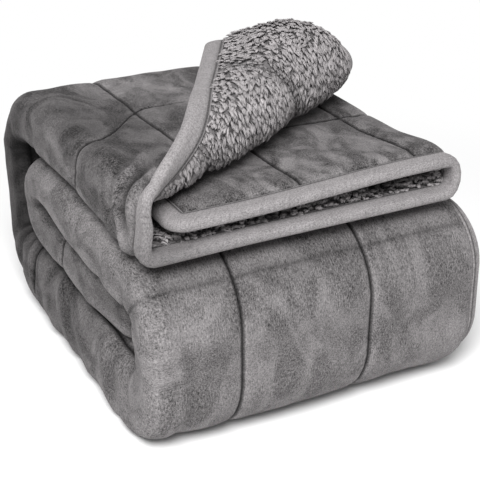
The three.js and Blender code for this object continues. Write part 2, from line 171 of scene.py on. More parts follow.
# Places of painted shade and painted light on it: width, length, bearing, reach, breadth, change
PAINTED_LIGHT_PLACES = (
    (770, 440, 90, 84, 40, -0.68),
    (772, 580, 90, 74, 40, -0.42),
    (813, 61, 41, 50, 4.5, -0.34),
    (806, 72, 42, 56, 3.2, 0.20),
    (822, 235, 90, 140, 66, -0.36),
    (786, 228, 73, 78, 9, 0.26),
    (935, 342, -40, 95, 46, 0.40),
    (240, 110, 0, 110, 70, 0.36),
    (90, 90, 0, 70, 110, 0.14),
    (768, 1265, 90, 90, 34, -0.18),
    (862, 1162, 4, 75, 20, -0.30),
    (985, 1156, -4, 70, 16, -0.22),
    (1120, 1160, 3, 80, 18, -0.18),
    (840, 1090, 80, 60, 14, 0.12),
)
# How far a rim lightens it and a hollow darkens it, and the bend per metre that is a full one
RIM_LIGHT, HOLLOW_SHADE, SHARP_CURVE = 0.44, 0.46, 100.0
# Places of painted shade on the tape, in rows like those before
TAPE_PAINTED_SHADE = ((752, 12, 0, 46, 60, -0.34), (700, 12, 0, 60, 60, -0.12))


def smooth(t):
    t = np.clip(t, 0, 1)
    return t * t * (3 - 2 * t)


def walk(segment, distance):
    """The point and heading at a distance along one straight or bend."""
    x, y, heading = segment["x"], segment["y"], segment["heading"]
    if not segment["turn"]:
        return x + distance * math.cos(heading), y + distance * math.sin(heading), heading + 0 * distance
    bend, radius = heading - distance / segment["radius"], segment["radius"]
    return (
        x + radius * (math.sin(heading) - np.sin(bend)),
        y + radius * (np.cos(bend) - math.cos(heading)),
        bend,
    )


def make_path(x, y, length, rows):
    """Straights and right-hand bends in a plane, whose last row takes what is left."""
    segments, start, heading = [], 0.0, 0.0
    for name, radius, turn, run in rows:
        turn = math.radians(turn)
        run = radius * turn if turn else (length - start if run is None else run)
        segment = dict(name=name, radius=radius, turn=turn, start=start, run=run, x=x, y=y, heading=heading)
        segments.append(segment)
        x, y, heading = (float(v) for v in walk(segment, run))
        start += run
    return segments


def start_of(path, name):
    return next(s["start"] for s in path if s["name"] == name)


def on_path(path, distance):
    """Points on a path, and the unit normals to the left of it."""
    x, y, heading = walk(path[0], distance)
    for segment in path[1:]:
        here = distance >= segment["start"]
        px, py, ph = walk(segment, distance - segment["start"])
        x, y, heading = np.where(here, px, x), np.where(here, py, y), np.where(here, ph, heading)
    return x, y, -np.sin(heading), np.cos(heading)


RIGHT_RADIUS = LAYER / 2
WRAP_RADIUS = 1.5 * LAYER
ACROSS_RIGHT = STACK_WIDTH / 2 - RIGHT_RADIUS - LAYER / 2
ACROSS_LEFT = -STACK_WIDTH / 2 + LEFT_CORNER + LAYER / 2
LOWER_RUN = ACROSS_RIGHT - ACROSS_LEFT
UPPER_RUN = LOWER_RUN - UPPER_LAYER_SHORT
ACROSS = make_path(ACROSS_RIGHT - UPPER_RUN, 0.0, CLOTH_WIDTH, (
    ("upper layer", 0, 0, UPPER_RUN),
    ("right fold", RIGHT_RADIUS, 180, None),
    ("lower layer", 0, 0, LOWER_RUN),
    ("left fold", LEFT_CORNER, 90, None),
    ("left flat", 0, 0, 2 * (LAYER - LEFT_CORNER)),
    ("left corner", LEFT_CORNER, 90, None),
    ("top layer", 0, 0, None),
))
RIGHT_FOLD_START = start_of(ACROSS, "right fold")
LEFT_FOLD_START = start_of(ACROSS, "left fold")
TOP_LAYER_START = start_of(ACROSS, "top layer")
BACK_INNER = STACK_DEPTH / 2 - STRIP / 2 - BACK_CORNER
FRONT_INNER = -STACK_DEPTH / 2 + STRIP / 2 + FRONT_CORNER
CORE_BACK = STACK_DEPTH / 2 - 2 * STRIP - CORE_CLEAR
TOP_START = -STACK_DEPTH / 2 + FRONT_SETBACK
ALONG = make_path(TOP_START, 3.5 * STRIP, CLOTH_LENGTH, (
    ("top section", 0, 0, BACK_INNER - TOP_START),
    ("back fold over", BACK_CORNER, 90, None),
    ("back", 0, 0, 3 * STRIP - 2 * BACK_CORNER),
    ("back fold under", BACK_CORNER, 90, None),
    ("bottom section", 0, 0, BACK_INNER - FRONT_INNER),
    ("front fold under", FRONT_CORNER, 90, None),
    ("front", 0, 0, 2 * STRIP - 2 * FRONT_CORNER),
    ("front fold over", FRONT_CORNER, 90, None),
    ("second section", 0, 0, CORE_BACK - FRONT_INNER),
    ("core fold", STRIP / 2, 180, None),
    ("core section", 0, 0, None),
))
TOP_SECTION_RUN = start_of(ALONG, "back fold over")


def crease_at(from_fold):
    """Where the roll's crease lies in the top layer, as a length from the front edge."""
    run = np.maximum(0, from_fold - CREASE_START)
    sag = CREASE_SAG * (1 - np.exp(-run / CREASE_SAG_REACH))
    return BINDING_WIDTH + run * math.tan(CREASE_ANGLE) - sag


def bow_at(width):
    """How far the bowed cross seam has left its straight line."""
    return BOWED_RISE * smooth((width - TOP_LAYER_START) / BOWED_REACH)


def top_reach(from_fold, curl, wrap, steps=30):
    """The cross-section from the left fold on, whose end wraps down or curls up."""
    straight = np.minimum(from_fold, CURL_START)
    step = (from_fold - straight) / steps

    def angle_at(s):
        curled = curl * np.maximum(0, s - CURL_START) / CURL_RADIUS
        return curled - wrap * np.maximum(0, s - LOWER_RUN) / WRAP_RADIUS

    reach, lift = straight.copy(), np.zeros_like(straight)
    for i in range(steps):
        angle = angle_at(straight + (i + 0.5) * step)
        reach += step * np.cos(angle)
        lift += step * np.sin(angle)
    return reach, lift, angle_at(from_fold)


def roll_at(width, length):
    """How a place lies to the crease of the turned corner.

    Gives whether its layer has the crease, its turn, its foot on the crease and the way past it, the
    roll's radius there, the lift and angle of the layer's curled end, and its length in from the tape.
    """
    from_fold = width - TOP_LAYER_START
    bent = np.maximum(length, BINDING_WIDTH)
    in_top = (length < TOP_SECTION_RUN) & (width > LEFT_FOLD_START)
    flat_past = np.where(in_top, np.maximum(0, (crease_at(from_fold) - bent) * COS_CREASE), 0)
    wrap = smooth((length - WRAP_FROM) / WRAP_OVER)
    reach, lift, angle = top_reach(from_fold, smooth(flat_past / CURL_ONSET), wrap)
    past = np.where(in_top, np.maximum(0, (crease_at(reach) - bent) * COS_CREASE), 0)
    foot = reach - past * SIN_CREASE
    radius = ROLL_RADIUS + ROLL_GROWTH * np.maximum(0, foot - CREASE_START) / COS_CREASE
    turn = np.minimum(past / radius, ROLL_TURN)
    return in_top, turn, foot, past, radius, lift, angle, bent


def lean_at(from_fold, length, turn):
    """How far the turned flap leans out to the left, most of all near the left fold."""
    reach = np.where(from_fold < LEAN_AT, LEAN_BEFORE, LEAN_BEYOND)
    most = FLAP_LEAN * np.exp(-(((from_fold - LEAN_AT) / reach) ** 2))
    return most * (1 - (1 - smooth(turn / LEAN_FULL_TURN)) * smooth(length / LEAN_FRONT))


def folded(width, length, offset):
    """Places in the folded stack: across, along and through the cloth."""
    in_top, turn, foot, past, radius, lift, angle, bent = roll_at(width, length)
    cx, cy, cnx, cny = on_path(ACROSS, TOP_LAYER_START + foot)
    sx, sy, snx, sny = on_path(ALONG, np.where(in_top, bent + past * COS_CREASE, length))
    zero, one = np.zeros_like(cx), np.ones_like(cx)
    up = np.stack([zero, snx, sny], -1)
    aside = np.stack([one, zero, zero], -1)
    sideways = aside * cny[:, None] - up * cnx[:, None]
    lengthways = np.stack([zero, sny, -snx], -1)
    outwards = aside * cnx[:, None] + up * cny[:, None]
    point = np.stack([cx, sx, sy], -1) + up * cy[:, None]
    sin_turn, cos_turn = np.sin(turn)[:, None], np.cos(turn)[:, None]
    along_crease = sideways * COS_CREASE + lengthways * SIN_CREASE
    over_crease = sideways * SIN_CREASE - lengthways * COS_CREASE
    onward = over_crease * cos_turn + outwards * sin_turn
    normal = outwards * cos_turn - over_crease * sin_turn
    point += (over_crease * sin_turn + outwards * (1 - cos_turn)) * radius[:, None]
    point += onward * (past - turn * radius)[:, None]
    band = np.where(in_top, np.maximum(0, bent - length), 0)[:, None]
    point += (onward * COS_CREASE - along_crease * SIN_CREASE) * band
    point[:, 0] -= np.where(in_top, lean_at(width - TOP_LAYER_START, length, turn), 0)
    endways = along_crease * COS_CREASE + onward * SIN_CREASE
    point += normal * (lift + offset * np.cos(angle))[:, None]
    return point - endways * (offset * np.sin(angle))[:, None]


def lift_at(width, length):
    """How far a layer of the top section stands up off the one below."""
    at_x = on_path(ACROSS, np.minimum(width, UPPER_RUN))[0]
    mouth = MOUTH_LIFT * smooth((at_x - MOUTH_FROM) / MOUTH_OVER) * smooth(1 - length / MOUTH_DEPTH)
    of_upper = (UPPER_LAYER_LIFT + mouth) * (1 - smooth((width - UPPER_RUN) / (math.pi * RIGHT_RADIUS)))
    of_top = TOP_LAYER_LIFT * smooth((width - LEFT_FOLD_START) / (TOP_LAYER_START - LEFT_FOLD_START))
    return (of_upper + of_top) * (1 - smooth((length - TOP_SECTION_RUN) / BACK_CORNER))


def border_rise(x, y, z):
    """How far a place moves up with the borders between the strips at the left side."""
    level = np.clip(z / STRIP, 0, 4)
    front, behind = (np.interp(level, range(5), rises) for rises in (BORDER_RISE_FRONT, BORDER_RISE_BEHIND))
    share = smooth((-x - BORDER_LEFT_FROM) / BORDER_LEFT_OVER)
    share *= 1 - smooth((y - BORDER_BACK_FROM) / BORDER_BACK_OVER)
    return share * (front + (behind - front) * smooth((y + STACK_DEPTH / 2) / BORDER_SLOPE_OVER))


def settled(width, length, offset):
    """Places in the stack as it lies, in metres: across, along and through the cloth, in mm."""
    width, length, offset = (np.array(v, float) for v in np.broadcast_arrays(width, length, offset))
    point = folded(width, length, offset)
    sx, sy, snx, sny = on_path(ALONG, length)
    lift = lift_at(width, length)
    point[:, 1] += lift * snx
    point[:, 2] += lift * sny
    table = np.array(UNEVEN, float)
    row = np.clip(np.searchsorted(table[:, 0], length), 1, len(table) - 1)
    share = smooth((length - table[row - 1, 0]) / (table[row, 0] - table[row - 1, 0]))[:, None]
    before, after = table[row - 1, 1:], table[row, 1:]
    left, right, inner_lip, outer_lip = (before + (after - before) * share).T
    level = np.clip(((point[:, 1] - sx) * snx + (point[:, 2] - sy) * sny) / (STRIP / 2), -1, 1)
    left = left + inner_lip * ((1 - level) / 2) ** LIP_SHARPNESS
    left = left + outer_lip * ((1 + level) / 2) ** LIP_SHARPNESS
    side = point[:, 0] / (STACK_WIDTH / 2)
    point[:, 0] += right * np.clip(side, 0, 1) ** 2 - left * np.clip(-side, 0, 1) ** 2
    point[:, 2] = np.maximum(FLOOR_CLEAR, point[:, 2] + border_rise(*point.T) - SINK)
    return point * MM


def past_tape(width, length):
    """How far a place lies in from the tape's inner edge."""
    across, along = np.minimum(width, CLOTH_WIDTH - width), np.minimum(length, CLOTH_LENGTH - length)
    return np.minimum(across, along) - BINDING_WIDTH


def seam_distances(width, length):
    """The way to the nearest lengthwise seam, and to the nearest cross seam."""
    lengthwise = np.min([np.abs(width - at) for at in SEAMS_ACROSS], axis=0)
    bows = [bow_at(width), 0, 0, 0]
    return lengthwise, np.min([np.abs(length - at - bow) for at, bow in zip(SEAMS_ALONG, bows)], axis=0)


def pulled(distance, near, far, share):
    """How far a seam pulls the cloth down, from 1 on the seam: a sharp part and a wide part."""
    return share * np.exp(-distance / near) + (1 - share) * np.exp(-distance / far)


def cross_depth(length):
    """How deep the nearest cross seam is sewn."""
    middles = [(a + b) / 2 for a, b in zip(SEAMS_ALONG, SEAMS_ALONG[1:])]
    return np.array(SEAMS_ALONG_DEPTH)[np.searchsorted(middles, length)]


def seam_pull(width, length, near, far, share):
    lengthwise, cross = seam_distances(width, length)
    across = pulled(cross, near, far, share) * cross_depth(length)
    return 1 - (1 - pulled(lengthwise, near, far, share)) * (1 - across)


def rounded(width, length):
    """The cloth's four corners are cut round."""
    u = CORNER_ROUND - np.minimum(np.minimum(width, CLOTH_WIDTH - width), CORNER_ROUND)
    v = CORNER_ROUND - np.minimum(np.minimum(length, CLOTH_LENGTH - length), CORNER_ROUND)
    shorter = np.maximum(u, v) / np.maximum(np.hypot(u, v), 1e-9)
    inward = np.where((u > 0) & (v > 0), 1 - shorter, 0.0)
    u = inward * u * np.where(width < CLOTH_WIDTH / 2, 1, -1)
    v = inward * v * np.where(length < CLOTH_LENGTH / 2, 1, -1)
    return width + u, length + v


def swells(width, length, seed, longest, shortest, count=14):
    """Slow seeded waves over the cloth, about -1 to 1."""
    chance = np.random.default_rng(seed)
    total = np.zeros_like(width)
    for _ in range(count):
        wave = chance.uniform(shortest, longest)
        bearing, phase = chance.uniform(0, 2 * math.pi, 2)
        along = width * math.cos(bearing) + length * math.sin(bearing)
        total += np.sin(2 * math.pi * along / wave + phase)
    return total / math.sqrt(count)


def soft_strips(width, length, rows, bow):
    """The sum of soft strips over the cloth, each lying along its bearing and a little bowed."""
    total = np.zeros_like(width)
    for at_width, at_length, bearing, reach, breadth, height in rows:
        c, s = math.cos(math.radians(bearing)), math.sin(math.radians(bearing))
        dx, dy = width - at_width, length - at_length
        u, v = dx * c + dy * s, dy * c - dx * s
        total += height * np.exp(-((u / reach) ** 2) - ((v - bow * u * u) / breadth) ** 2)
    return total


# Heights through the cloth: between the seams, the seams' depth, under the tape, and beside it
FACE_PUFF, FACE_SEAM_DEPTH = 11.4, 5.6
GROUND_PUFF, GROUND_SEAM_DEPTH = -8.0, 4.6
MARGIN_HEIGHT, MARGIN_INSIDE, HEM_HEIGHT, HEM_REACH, LOFT_REACH = 2.6, 0.6, 3.0, 7.0, 14.0
# How a seam's pull fades: the sharp part's reach, the wide part's, and the sharp part's share
FACE_PULL, GROUND_PULL, GROOVE_PULL = (3.4, 17.0, 0.62), (9.0, 26.0, 0.5), (1.7, 9.0, 0.8)
PUCKER_WAVE, PUCKER_HEIGHT, PUCKER_REACH, PUCKER_ONSET, PUCKER_WANDER = 13.0, 0.55, 12.0, 2.5, 2.4
CREASE_BOW, CREASE_ONSET = 0.0022, 11.0
# The face's slow swells: height, seed, longest and shortest wave
FACE_SWELLS = ((0.65, 11, 190, 80), (0.28, 12, 60, 26))
# Where the cloth is on the outside: the top layer up to the front's end, the left fold, and the
# front of the upper layer, each with how far it fades
OUTER_FROM, OUTER_UNTIL, OUTER_FADE = 760.0, 1130.0, 60.0
FOLD_MIDDLE, FOLD_REACH = 784.0, 42.0
UPPER_UNTIL, UPPER_LENGTH, UPPER_FADE = 340.0, 230.0, 40.0
PRESSED_SHARE = 0.25


def exposed(width, length):
    """1 where the cloth lies on the outside of the stack, less where layers press on it."""
    outer = smooth((width - OUTER_FROM) / OUTER_FADE) * (1 - smooth((length - OUTER_UNTIL) / OUTER_FADE))
    fold = np.exp(-(((width - FOLD_MIDDLE) / FOLD_REACH) ** 2))
    upper = smooth((UPPER_UNTIL - width) / UPPER_FADE) * smooth((UPPER_LENGTH - length) / UPPER_FADE)
    return PRESSED_SHARE + (1 - PRESSED_SHARE) * np.clip(np.max([outer, fold, upper], axis=0), 0, 1)


def hemmed(width, length, height, side):
    """A height through the cloth that comes down to its margin under the tape."""
    inward = past_tape(width, length)
    loose = 1 - np.exp(-np.maximum(0, inward) / HEM_REACH)
    hem = side * HEM_HEIGHT
    return np.where(inward < MARGIN_INSIDE, side * MARGIN_HEIGHT, hem + (height - hem) * loose)


def face_height(width, length):
    """The flannel's height through the cloth, with its seams, puckers, swells and creases."""
    height = FACE_PUFF - FACE_SEAM_DEPTH * seam_pull(width, length, *FACE_PULL)
    shown = exposed(width, length)
    for beside, way, seed in zip(seam_distances(width, length), (length, width), (5, 6)):
        wander = PUCKER_WANDER * swells(width, length, seed, 160, 60)
        pucker = PUCKER_HEIGHT * shown * np.cos(2 * math.pi * way / PUCKER_WAVE + wander)
        height += pucker * np.exp(-beside / PUCKER_REACH) * (1 - np.exp(-beside / PUCKER_ONSET))
    height += shown * sum(high * swells(width, length, *waves) for high, *waves in FACE_SWELLS)
    onset = smooth(past_tape(width, length) / CREASE_ONSET)
    height += soft_strips(width, length, CREASES, CREASE_BOW) * onset
    return hemmed(width, length, height, 1)


def ground_height(width, length):
    """The knitted ground that the pile grows from, on the other side."""
    depth = GROUND_PUFF + GROUND_SEAM_DEPTH * seam_pull(width, length, *GROUND_PULL)
    return hemmed(width, length, depth, -1)


# Grid lines beside a seam and inside the tape, and how far off the other lines keep
BESIDE_SEAM, SEAM_ROOM = (-6.4, -3.6, -1.6, 0.0, 1.6, 3.6, 6.4), 8.5
INSIDE_TAPE, TAPE_ROOM = (0.0, 1.2, 4.0, 8.0, 13.0), 16.0


def grid_lines(path, steps, seams, end):
    """Grid lines at each segment's own step, drawn closer beside the seams and the binding."""
    lines, first, last = [], BINDING_WIDTH, end - BINDING_WIDTH
    for segment, step in zip(path, steps):
        start, stop = segment["start"], segment["start"] + segment["run"]
        count = max(1, round((stop - start) / step))
        lines += [start + (stop - start) * k / count for k in range(count)]
    lines = [s for s in lines if all(abs(s - seam) > SEAM_ROOM for seam in seams)]
    lines = [s for s in lines if first + TAPE_ROOM < s < last - TAPE_ROOM]
    lines += [seam + step for seam in seams for step in BESIDE_SEAM]
    lines += [first + step for step in INSIDE_TAPE] + [last - step for step in INSIDE_TAPE]
    return np.array(sorted([*lines, MARGIN_EDGE, end - MARGIN_EDGE]))


def unit_rows(vectors):
    return vectors / np.maximum(np.linalg.norm(vectors, axis=-1, keepdims=True), 1e-12)


def dot_rows(first, second):
    return np.sum(first * second, -1, keepdims=True)


def deselect_all():
    if bpy.context.object and bpy.context.object.mode != "OBJECT":
        bpy.ops.object.mode_set(mode="OBJECT")
    bpy.ops.object.select_all(action="DESELECT")


def edit_whole(operation, *each):
    """Runs a mesh operator on the whole of the active piece, once for each group of settings."""
    bpy.ops.object.mode_set(mode="EDIT")
    for settings in each:
        bpy.ops.mesh.select_all(action="SELECT")
        operation(**settings)
    bpy.ops.object.mode_set(mode="OBJECT")


def smooth_shaded(piece):
    piece.data.polygons.foreach_set("use_smooth", np.ones(len(piece.data.polygons), bool))
    piece.data.update()


def float_attribute(piece, name, values):
    layer = piece.data.attributes.new(name, "FLOAT", "POINT")
    layer.data.foreach_set("value", np.asarray(values, np.float32))


def own_uv(piece, name, u, v):
    """A UV map from two values for each vertex."""
    mesh = piece.data
    while mesh.uv_layers:
        mesh.uv_layers.remove(mesh.uv_layers[0])
    corner = np.empty(len(mesh.loops), np.int32)
    mesh.loops.foreach_get("vertex_index", corner)
    pairs = np.stack([u[corner], v[corner]], -1).astype(np.float32)
    mesh.uv_layers.new(name=name).data.foreach_set("uv", pairs.ravel())


def points_of(mesh):
    flat = np.empty(len(mesh.vertices) * 3)
    mesh.vertices.foreach_get("co", flat)
    return flat.reshape(-1, 3)


def grid_places(piece, across, along):
    """The column and row of each point of a new grid of size 1."""
    share = points_of(piece.data)[:, :2] + 0.5
    return np.rint(share * (across - 1, along - 1)).astype(int).T


def curve_of(points, row, column):
    """How sharply the grid's surface bends at each point, per metre: above 0 where it bulges."""
    order = np.lexsort((column, row))
    grid = points[order].reshape(row.max() + 1, column.max() + 1, 3)
    normal = unit_rows(np.cross(np.gradient(grid, axis=1), np.gradient(grid, axis=0)))
    total = np.zeros(grid.shape[:2])
    for axis in (0, 1):
        step, turn = np.gradient(grid, axis=axis), np.gradient(normal, axis=axis)
        total += np.sum(step * turn, -1) / np.maximum(np.sum(step * step, -1), 1e-9)
    values = np.empty(len(points))
    values[order] = total.ravel()
    return values


def cloth_grid(name, height, thickness, margin_share, steps_across, steps_along, faces_down=False):
    """A grid of the cloth's own lines, folded by the map and given its thickness inwards.

    The steps are those of the paths' segments, in their order.
    """
    columns = grid_lines(ACROSS, steps_across, SEAMS_ACROSS, CLOTH_WIDTH)
    rows = grid_lines(ALONG, steps_along, SEAMS_ALONG, CLOTH_LENGTH)
    deselect_all()
    across, along = len(columns), len(rows)
    bpy.ops.mesh.primitive_grid_add(x_subdivisions=across - 1, y_subdivisions=along - 1, size=1)
    piece = bpy.context.object
    piece.name = piece.data.name = name
    column, row = grid_places(piece, across, along)
    width, plain = columns[column], rows[row]
    toward = np.clip((plain - BINDING_WIDTH) / (SEAMS_ALONG[0] - BINDING_WIDTH), 0, 1)
    past = np.clip((TOP_SECTION_RUN - plain) / (TOP_SECTION_RUN - SEAMS_ALONG[0]), 0, 1)
    length = plain + bow_at(width) * np.minimum(toward, past)
    depth = height(width, length)
    width, length = rounded(width, length)
    points = settled(width, length, depth)
    piece.data.vertices.foreach_set("co", points.ravel())
    own_uv(piece, "cloth", width * MM, length * MM)
    float_attribute(piece, "groove", seam_pull(width, length, *GROOVE_PULL))
    # The flannel's painted light and shade: each section's level, the listed places, a painted highlight on
    # bulges and painted shade in hollows
    nap_and_painted_light = np.interp(length, *zip(*SECTION_PAINTED_LIGHT)) + soft_strips(width, length, PAINTED_LIGHT_PLACES, 0.0)
    curve = curve_of(points, row, column) / SHARP_CURVE
    nap_and_painted_light *= 1 + RIM_LIGHT * np.clip(curve, 0, 1) - HOLLOW_SHADE * np.clip(-curve, 0, 1)
    float_attribute(piece, "nap_and_painted_light", nap_and_painted_light)
    float_attribute(piece, "brush", np.interp(length, *zip(*BRUSH_STRENGTH)))
    loft = smooth(past_tape(width, length) / LOFT_REACH)
    share = np.round(margin_share + (1 - margin_share) * loft, 2)
    group = piece.vertex_groups.new(name="loft")
    for level in np.unique(share):
        group.add(np.nonzero(share == level)[0].tolist(), float(level), "REPLACE")
    if faces_down:
        edit_whole(bpy.ops.mesh.flip_normals, {})
    solid = piece.modifiers.new("Thickness", "SOLIDIFY")
    solid.thickness, solid.offset = thickness * MM, -1.0
    solid.vertex_group, solid.thickness_vertex_group = "loft", 0.0
    bpy.ops.object.modifier_apply(modifier=solid.name)
    smooth_shaded(piece)
    return piece


def joined_copies(name, points, faces):
    """One mesh of many copies of a small shape, whose points are given for each copy."""
    copies, corners = points.shape[:2]
    sizes = np.array([len(face) for face in faces])
    flat = np.concatenate([np.array(face) for face in faces])
    loops = (flat[None, :] + corners * np.arange(copies)[:, None]).ravel()
    mesh = bpy.data.meshes.new(name)
    mesh.vertices.add(copies * corners)
    mesh.vertices.foreach_set("co", points.astype(np.float32).ravel())
    mesh.loops.add(len(loops))
    mesh.loops.foreach_set("vertex_index", loops.astype(np.int32))
    mesh.polygons.add(copies * len(sizes))
    starts = np.concatenate([[0], np.cumsum(np.tile(sizes, copies))[:-1]])
    mesh.polygons.foreach_set("loop_start", starts.astype(np.int32))
    mesh.update(calc_edges=True)
    if mesh.validate():
        raise RuntimeError(f"{name} has broken faces")
    piece = bpy.data.objects.new(name, mesh)
    bpy.context.scene.collection.objects.link(piece)
    smooth_shaded(piece)
    return piece


def small_shape(sections, sides, pointed):
    """A rod or a strand from a primitive, cut across at the given heights from 0 to 1.

    Gives each point's direction from the middle line, its height, and the faces.
    """
    deselect_all()
    if pointed:
        bpy.ops.mesh.primitive_cone_add(vertices=sides, radius1=1, radius2=0, depth=1, end_fill_type="NGON")
    else:
        bpy.ops.mesh.primitive_cylinder_add(vertices=sides, radius=1, depth=1, end_fill_type="NGON")
    shape = bpy.context.object
    cuts = ({"plane_co": (0, 0, height - 0.5), "plane_no": (0, 0, 1)} for height in sections)
    edit_whole(bpy.ops.mesh.bisect, *cuts)
    mesh = shape.data
    corners = points_of(mesh)
    ring = np.hypot(corners[:, 0], corners[:, 1])
    unit = corners[:, :2] / np.maximum(ring, 1e-9)[:, None]
    unit[ring < 1e-6] = 0
    faces = [list(face.vertices) for face in mesh.polygons]
    bpy.data.objects.remove(shape)
    bpy.data.meshes.remove(mesh)
    return unit, corners[:, 2] + 0.5, faces


class Wire:
    """A socket whose sums are written as Python, each adding its Math node."""

    def __init__(self, finish, socket):
        self.finish, self.socket = finish, socket

    def maths(self, operation, *values):
        return self.finish.node("ShaderNodeMath", {"operation": operation}, dict(enumerate(values)))["Value"]

    def __add__(self, other):
        return self.maths("ADD", self, other)

    def __sub__(self, other):
        return self.maths("SUBTRACT", self, other)

    def __rsub__(self, other):
        return self.maths("SUBTRACT", other, self)

    def __mul__(self, other):
        return self.maths("MULTIPLY", self, other)

    def clamped(self, low, high):
        return self.finish.node("ShaderNodeClamp", {}, {"Value": self, "Min": low, "Max": high})["Result"]

    __radd__ = __add__
    __rmul__ = __mul__


class Finish:
    """A material of one shader, whose nodes are added by one method."""

    def __init__(self, name):
        self.material = bpy.data.materials.new(name)
        self.material.use_nodes = True
        self.tree = self.material.node_tree
        self.tree.nodes.clear()

    def node(self, kind, settings, sockets):
        """Adds a node, sets it, fills its sockets by name or number, and returns its outputs."""
        node = self.tree.nodes.new(kind)
        for key, value in settings.items():
            if key == "stops":
                ramp = node.color_ramp
                for i, (place, level) in enumerate(value):
                    stop = ramp.elements[i] if i < 2 else ramp.elements.new(place)
                    stop.position, stop.color = place, (level, level, level, 1)
            else:
                setattr(node, key, value)
        for key, value in sockets.items():
            socket = node.inputs[key]
            if isinstance(value, Wire):
                self.tree.links.new(value.socket, socket)
            else:
                socket.default_value = value
        return {socket.name: Wire(self, socket) for socket in node.outputs if socket.enabled}

    def uv(self, name):
        return self.node("ShaderNodeUVMap", {"uv_map": name}, {})["UV"]

    def stored(self, name):
        return self.node("ShaderNodeAttribute", {"attribute_name": name}, {})["Fac"]

    def stretched(self, vector, scale, turn=0.0):
        sockets = {"Vector": vector, "Scale": scale, "Rotation": (0, 0, math.radians(turn))}
        return self.node("ShaderNodeMapping", {}, sockets)["Vector"]

    def noise(self, vector, scale, detail=2.0, roughness=0.5, distortion=0.0):
        sockets = dict(Vector=vector, Scale=scale, Detail=detail, Roughness=roughness, Distortion=distortion)
        return self.node("ShaderNodeTexNoise", {}, sockets)["Fac"]

    def ramp(self, value, *stops):
        return self.node("ShaderNodeValToRGB", {"stops": stops}, {"Fac": value})["Color"]

    def times(self, colour, level):
        """A colour made lighter or darker by a number."""
        grey = self.node("ShaderNodeCombineColor", {}, dict.fromkeys(("Red", "Green", "Blue"), level))
        settings = {"data_type": "RGBA", "blend_type": "MULTIPLY"}
        return self.node("ShaderNodeMix", settings, {0: 1.0, 6: colour, 7: grey["Color"]})["Result"]

    def close(self, colour, roughness, height, depth, **settings):
        """The shader itself: constants go on its own sockets."""
        bump = self.node("ShaderNodeBump", {}, {"Strength": 1.0, "Distance": depth, "Height": height})
        sockets = {"Base Color": colour, "Roughness": roughness, "Normal": bump["Normal"]}
        sockets.update({key.replace("_", " "): value for key, value in settings.items()})
        shader = self.node("ShaderNodeBsdfPrincipled", {}, sockets)["BSDF"]
        self.node("ShaderNodeOutputMaterial", {}, {"Surface": shader})
        return self.material


def warm(level):
    """A warm grey of a given lightness."""
    return (level * 1.035, level * 0.985, level * 0.995, 1.0)


def flannel_finish(look):
    """Short brushed plush: lighter and darker strokes, a fine grain, painted shade in the seams, and painted
    light and shade stored on the cloth.
    """
    f = Finish("brushed_flannel")
    at = f.uv("cloth")
    strokes = f.noise(f.stretched(at, (20.0, 13.0, 1.0), 28), 1.0, 2.5, 0.55, 1.4)
    touches = f.noise(f.stretched(at, (58.0, 34.0, 1.0), -18), 1.0, 2.0, 0.55, 1.0)
    streaks = f.noise(f.stretched(at, (560.0, 190.0, 1.0), 4), 1.0, 2.0, 0.7)
    grain = f.noise(f.stretched(at, (620.0, 420.0, 1.0)), 1.0, 2.0, 0.8)
    speckle = f.noise(at, 980.0, 1.0, 0.6)
    patch = f.ramp(strokes, (0.41, 0.0), (0.59, 1.0)) * 0.70
    patch += f.ramp(touches, (0.40, 0.0), (0.61, 1.0)) * 0.30
    texture = (streaks - 0.5) * 1.1 + (grain - 0.5) * 2.7 + (speckle - 0.5) * 1.6
    # times the painted light and shade stored on the cloth
    level = (0.99 + (patch - 0.5) * f.stored("brush") + texture).clamped(0.12, 3.0) * f.stored("nap_and_painted_light")
    groove = f.stored("groove")
    colour = f.times(warm(look.flannel_level), level * (1 - groove * 0.86))
    height = streaks * 0.6 + grain * 0.8 + patch * 0.25
    return f.close(
        colour, 0.84, height, 0.0012,
        Sheen_Weight=0.16, Sheen_Roughness=0.35, Sheen_Tint=warm(0.60), Specular_IOR_Level=0.10,
    )


def pile_finish(look):
    """Sherpa strands with painted shade at the root that lightens towards the tip, each lock a little its
    own, with painted shade by the seams and painted light and shade in the mouth.
    """
    f = Finish("sherpa_pile")
    tip, tone_and_painted_light = f.stored("tip"), f.stored("tone_and_painted_light")
    # painted shade at the strands' roots, lightening towards the tip
    level = (0.33 + 0.74 * f.ramp(tip, (0.0, 0.0), (0.62, 1.0))) * tone_and_painted_light
    place = f.node("ShaderNodeTexCoord", {}, {})["Object"]
    spots = f.noise(place, 700.0, 2.0, 0.7)
    colour = f.times(warm(look.pile_level), level * (0.72 + spots * 0.56))
    return f.close(
        colour, 0.9, spots, 0.0008,
        Sheen_Weight=0.30, Sheen_Roughness=0.5, Sheen_Tint=warm(0.6), Specular_IOR_Level=0.08,
    )


def ground_finish(look):
    """The pile's knitted ground, painted dark as the shade deep in the pile, with the curls of hidden pile
    as relief and painted shade between them.
    """
    f = Finish("sherpa_ground")
    at = f.uv("cloth")
    curls_and_painted_shade = f.noise(at, 190.0, 3.0, 0.6, 0.8)
    fine = f.noise(at, 900.0, 2.0, 0.6)
    # painted shade: dark all over as deep in the pile, and darker between the curls
    colour = f.times(warm(look.pile_level), 0.22 + curls_and_painted_shade * 0.45 + (fine - 0.5) * 0.3)
    return f.close(colour, 0.95, curls_and_painted_shade * 0.8 + fine * 0.2, 0.004, Specular_IOR_Level=0.1)


